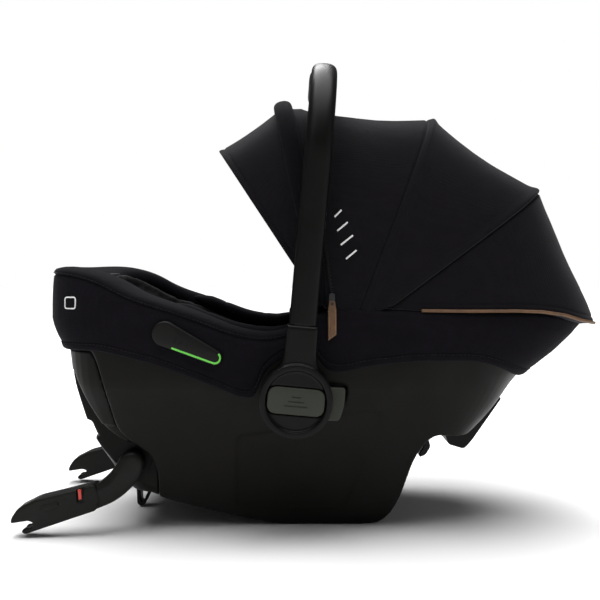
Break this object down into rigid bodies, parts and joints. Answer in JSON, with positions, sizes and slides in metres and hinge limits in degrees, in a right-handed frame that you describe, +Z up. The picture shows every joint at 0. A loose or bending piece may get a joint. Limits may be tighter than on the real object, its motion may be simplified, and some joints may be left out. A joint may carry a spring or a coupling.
{
  "type": "infant car seat",
  "caption": "Rear-facing infant car seat with swinging carry handle, folding fabric canopy, five-point harness and fold-down lower anchor arms.",
  "frame": {"origin": "on the floor below the middle of the bounding box", "axes": "+X towards the head end, feet and anchor arms at -X, +Z up, -Y the occupant's left"},
  "size_m": [0.7008, 0.44, 0.5734],
  "materials": {
    "shell_plastic": "satin moulded, fine grain",
    "impact_foam": "moulded bead foam",
    "cover_fabric": "fine knit, soft",
    "canopy_fabric": "fine woven cloth with a faint sheen",
    "button_grey": "satin moulded",
    "trim_black": "satin moulded",
    "guide_green": "bright moulded",
    "handle_plastic": "satin moulded, fine grain",
    "grip_rubber": "soft-touch",
    "leather": "smooth grain, stitched edge",
    "webbing": "woven webbing",
    "buckle_red": "moulded",
    "steel": "dark brushed"
  },
  "bodies": {
    "seat": {"outer_shell": "shell_plastic", "front_panel": "shell_plastic", "foam_liner": "impact_foam", "seat_pad": "cover_fabric", "seat_insert": "cover_fabric", "head_support": "cover_fabric", "front_cover": "cover_fabric", "rear_cover": "cover_fabric", "hub_base_left": "shell_plastic", "hub_base_right": "shell_plastic", "belt_guide_left": "trim_black", "belt_guide_right": "trim_black", "belt_guide_trim_left": "guide_green", "belt_guide_trim_right": "guide_green", "canopy_mount_left": "trim_black", "canopy_mount_right": "trim_black", "canopy_piping": "leather", "crotch_strap": "webbing", "buckle_body": "trim_black", "buckle_tongue_left": "trim_black", "buckle_tongue_right": "trim_black", "shoulder_strap_left": "webbing", "shoulder_strap_right": "webbing", "shoulder_pad_left": "cover_fabric", "shoulder_pad_right": "cover_fabric", "adjuster_strap": "webbing", "anchor_bracket_left": "shell_plastic", "anchor_bracket_right": "shell_plastic", "front_foot": "trim_black"},
    "handle": {"handle_bar": "handle_plastic", "handle_grip": "grip_rubber", "handle_socket_left": "handle_plastic", "handle_socket_right": "handle_plastic"},
    "handle_button_left": {"handle_button_left": "button_grey"},
    "handle_button_right": {"handle_button_right": "button_grey"},
    "release_tab_left": {"release_tab_left": "button_grey"},
    "release_tab_right": {"release_tab_right": "button_grey"},
    "canopy_front": {"canopy_front_bow": "trim_black", "canopy_rim": "canopy_fabric", "canopy_visor": "canopy_fabric", "canopy_front_panel": "canopy_fabric", "zipper_slider_left": "steel", "zipper_slider_right": "steel"},
    "canopy_middle": {"canopy_middle_bow": "trim_black", "canopy_middle_panel": "canopy_fabric"},
    "canopy_rear": {"canopy_rear_bow": "trim_black", "canopy_rear_panel": "canopy_fabric"},
    "zipper_pull_left": {"zipper_pull_left": "leather"},
    "zipper_pull_right": {"zipper_pull_right": "leather"},
    "anchor_arms": {"anchor_shaft": "steel", "anchor_arm_left": "trim_black", "anchor_arm_right": "trim_black"},
    "anchor_jaw_left": {"anchor_jaw_left": "steel"},
    "anchor_jaw_right": {"anchor_jaw_right": "steel"},
    "anchor_release_left": {"anchor_release_left": "trim_black"},
    "anchor_release_right": {"anchor_release_right": "trim_black"},
    "rear_release": {"rear_release_handle": "trim_black"},
    "latch": {"latch_hook": "steel"},
    "buckle_button": {"buckle_button": "buckle_red"},
    "adjuster_button": {"adjuster_button": "button_grey"}
  },
  "joints": [
    {"name": "handle_pivot", "type": "hinge", "parent": "seat", "child": "handle", "pos_m": [-0.01719, 0, 0.17], "axis": [0, 1, 0], "range_deg": [0, 105]},
    {"name": "canopy_fold", "type": "hinge", "parent": "seat", "child": "canopy_rear", "pos_m": [0.06681, 0, 0.277], "axis": [0, 1, 0], "range_deg": [0, 29], "deforming": ["canopy_rear_panel"]},
    {"name": "canopy_middle_fold", "type": "hinge", "parent": "canopy_rear", "child": "canopy_middle", "pos_m": [0.06681, 0, 0.277], "axis": [0, 1, 0], "range_deg": [0, 22.04], "deforming": ["canopy_middle_panel"]},
    {"name": "canopy_front_fold", "type": "hinge", "parent": "canopy_middle", "child": "canopy_front", "pos_m": [0.06681, 0, 0.277], "axis": [0, 1, 0], "range_deg": [0, 29], "deforming": ["canopy_front_panel"]},
    {"name": "anchor_fold", "type": "hinge", "parent": "seat", "child": "anchor_arms", "pos_m": [-0.21219, 0, 0.085], "axis": [0, 1, 0], "range_deg": [0, 75]},
    {"name": "handle_button_left_press", "type": "slide", "parent": "handle", "child": "handle_button_left", "axis": [0, 1, 0], "range_m": [0, 0.005], "stiffness_N_per_m": 600},
    {"name": "release_tab_left_press", "type": "slide", "parent": "seat", "child": "release_tab_left", "axis": [0, 1, 0], "range_m": [0, 0.0035], "stiffness_N_per_m": 600},
    {"name": "zipper_pull_left_swing", "type": "hinge", "parent": "canopy_front", "child": "zipper_pull_left", "pos_m": [0.02381, 0, 0.277], "axis": [0, 1, 0], "range_deg": [-60, 60]},
    {"name": "anchor_jaw_left_close", "type": "hinge", "parent": "anchor_arms", "child": "anchor_jaw_left", "pos_m": [-0.31719, 0, 0.0124], "axis": [0, 1, 0], "range_deg": [0, 14]},
    {"name": "anchor_release_left_slide", "type": "slide", "parent": "anchor_arms", "child": "anchor_release_left", "axis": [0.953, 0, 0.303], "range_m": [0, 0.004], "stiffness_N_per_m": 300},
    {"name": "handle_button_right_press", "type": "slide", "parent": "handle", "child": "handle_button_right", "axis": [0, -1, 0], "range_m": [0, 0.005], "stiffness_N_per_m": 600},
    {"name": "release_tab_right_press", "type": "slide", "parent": "seat", "child": "release_tab_right", "axis": [0, -1, 0], "range_m": [0, 0.0035], "stiffness_N_per_m": 600},
    {"name": "zipper_pull_right_swing", "type": "hinge", "parent": "canopy_front", "child": "zipper_pull_right", "pos_m": [0.02381, 0, 0.277], "axis": [0, 1, 0], "range_deg": [-60, 60]},
    {"name": "anchor_jaw_right_close", "type": "hinge", "parent": "anchor_arms", "child": "anchor_jaw_right", "pos_m": [-0.31719, 0, 0.0124], "axis": [0, 1, 0], "range_deg": [0, 14]},
    {"name": "anchor_release_right_slide", "type": "slide", "parent": "anchor_arms", "child": "anchor_release_right", "axis": [0.953, 0, 0.303], "range_m": [0, 0.004], "stiffness_N_per_m": 300},
    {"name": "rear_release_pull", "type": "slide", "parent": "seat", "child": "rear_release", "axis": [0.5757, 0, 0.8176], "range_m": [0, 0.007], "stiffness_N_per_m": 900},
    {"name": "latch_turn", "type": "hinge", "parent": "seat", "child": "latch", "pos_m": [0.16081, 0, 0.126], "axis": [0, 1, 0], "range_deg": [-10.5, 0]},
    {"name": "buckle_button_press", "type": "slide", "parent": "seat", "child": "buckle_button", "axis": [0.6119, 0, -0.7909], "range_m": [0, 0.0035], "stiffness_N_per_m": 700},
    {"name": "adjuster_button_press", "type": "slide", "parent": "seat", "child": "adjuster_button", "axis": [-0.6472, 0, -0.7623], "range_m": [0, 0.002], "stiffness_N_per_m": 500}
  ],
  "couplings": [
    {"joint": "canopy_middle_fold", "follows": "canopy_fold", "ratio": 0.76},
    {"joint": "canopy_front_fold", "follows": "canopy_fold", "ratio": 1},
    {"joint": "latch_turn", "follows": "rear_release_pull", "rad_per_m": -25}
  ]
}
